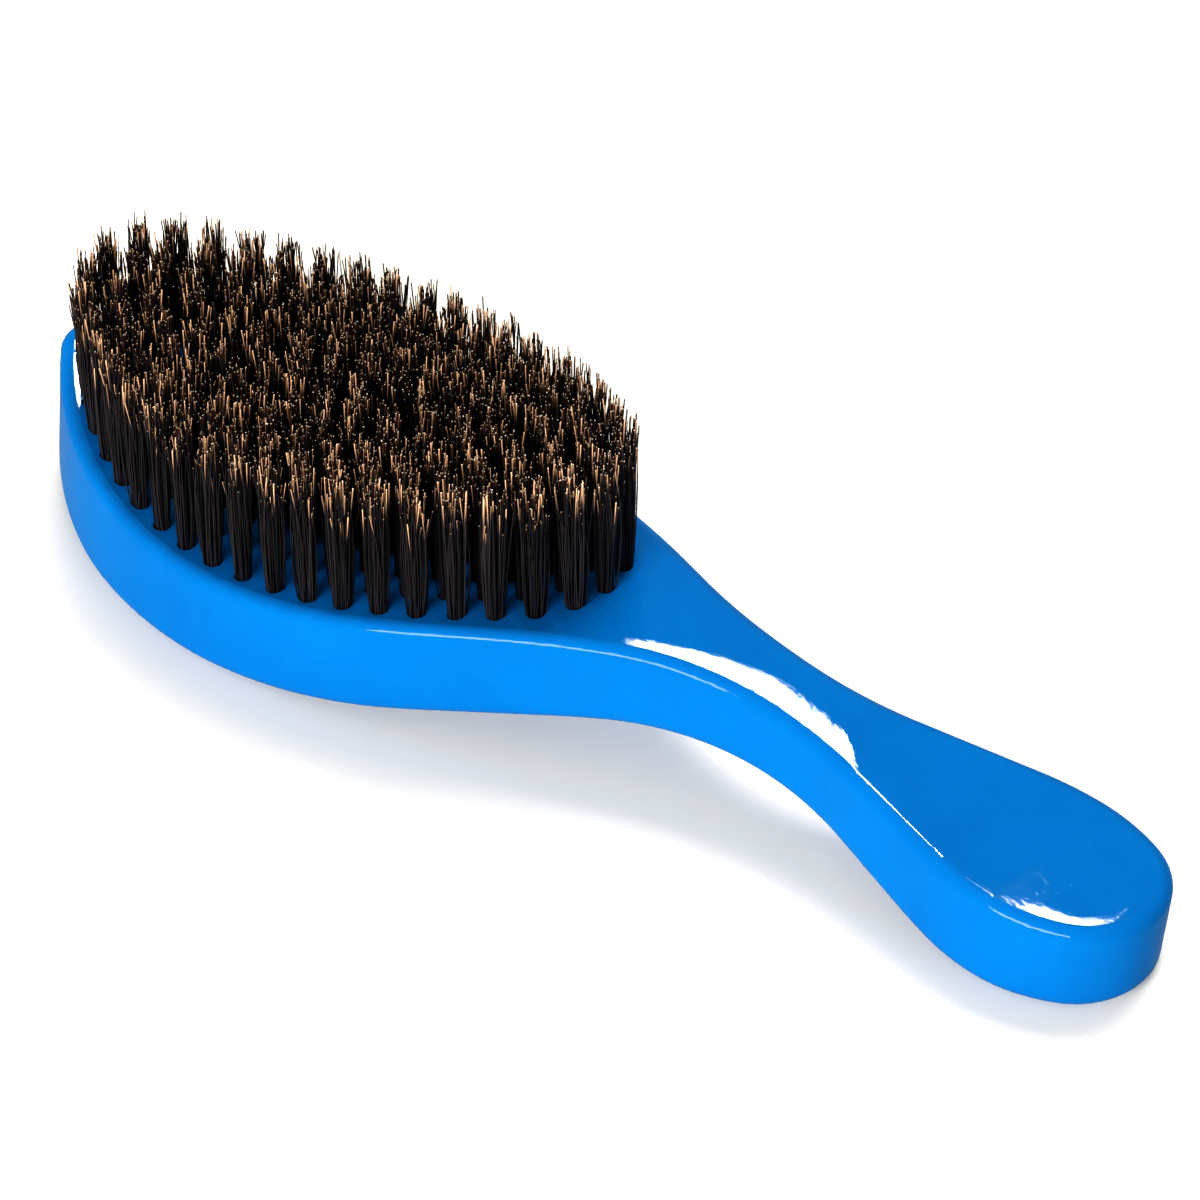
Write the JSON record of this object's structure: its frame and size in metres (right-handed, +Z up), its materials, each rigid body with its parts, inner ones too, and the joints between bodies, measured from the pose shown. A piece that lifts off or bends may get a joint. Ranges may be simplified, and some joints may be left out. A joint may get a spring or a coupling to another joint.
{
  "type": "fade brush",
  "caption": "Curved wooden hair brush with a leaf-shaped head, slim neck and rounded handle, filled with dense boar-type bristle tufts in blind holes.",
  "frame": {"origin": "under the middle of the brush, on the surface that it rests on, lying on its back", "axes": "+X from the tip of the head to the end of the handle, +Y across the brush, +Z up along the bristles"},
  "size_m": [0.1966, 0.0558, 0.0432],
  "materials": {
    "lacquered_wood": "gloss azure blue lacquer",
    "bristle": "black-brown boar bristle with tan tips",
    "anchor_wire": "flat brass-coloured wire"
  },
  "bodies": {
    "root": {"wooden_body": "lacquered_wood", "tufts_ring_1_right": "bristle", "anchors_ring_1_right": "anchor_wire", "tufts_ring_1_left": "bristle", "anchors_ring_1_left": "anchor_wire", "tufts_ring_2_right": "bristle", "anchors_ring_2_right": "anchor_wire", "tufts_ring_2_left": "bristle", "anchors_ring_2_left": "anchor_wire", "tufts_ring_3_right": "bristle", "anchors_ring_3_right": "anchor_wire", "tufts_ring_3_left": "bristle", "anchors_ring_3_left": "anchor_wire", "tufts_ring_4_right": "bristle", "anchors_ring_4_right": "anchor_wire", "tufts_ring_4_left": "bristle", "anchors_ring_4_left": "anchor_wire", "tufts_ring_5_right": "bristle", "anchors_ring_5_right": "anchor_wire", "tufts_ring_5_left": "bristle", "anchors_ring_5_left": "anchor_wire", "tufts_middle_row": "bristle", "anchors_middle_row": "anchor_wire"}
  },
  "joints": []
}
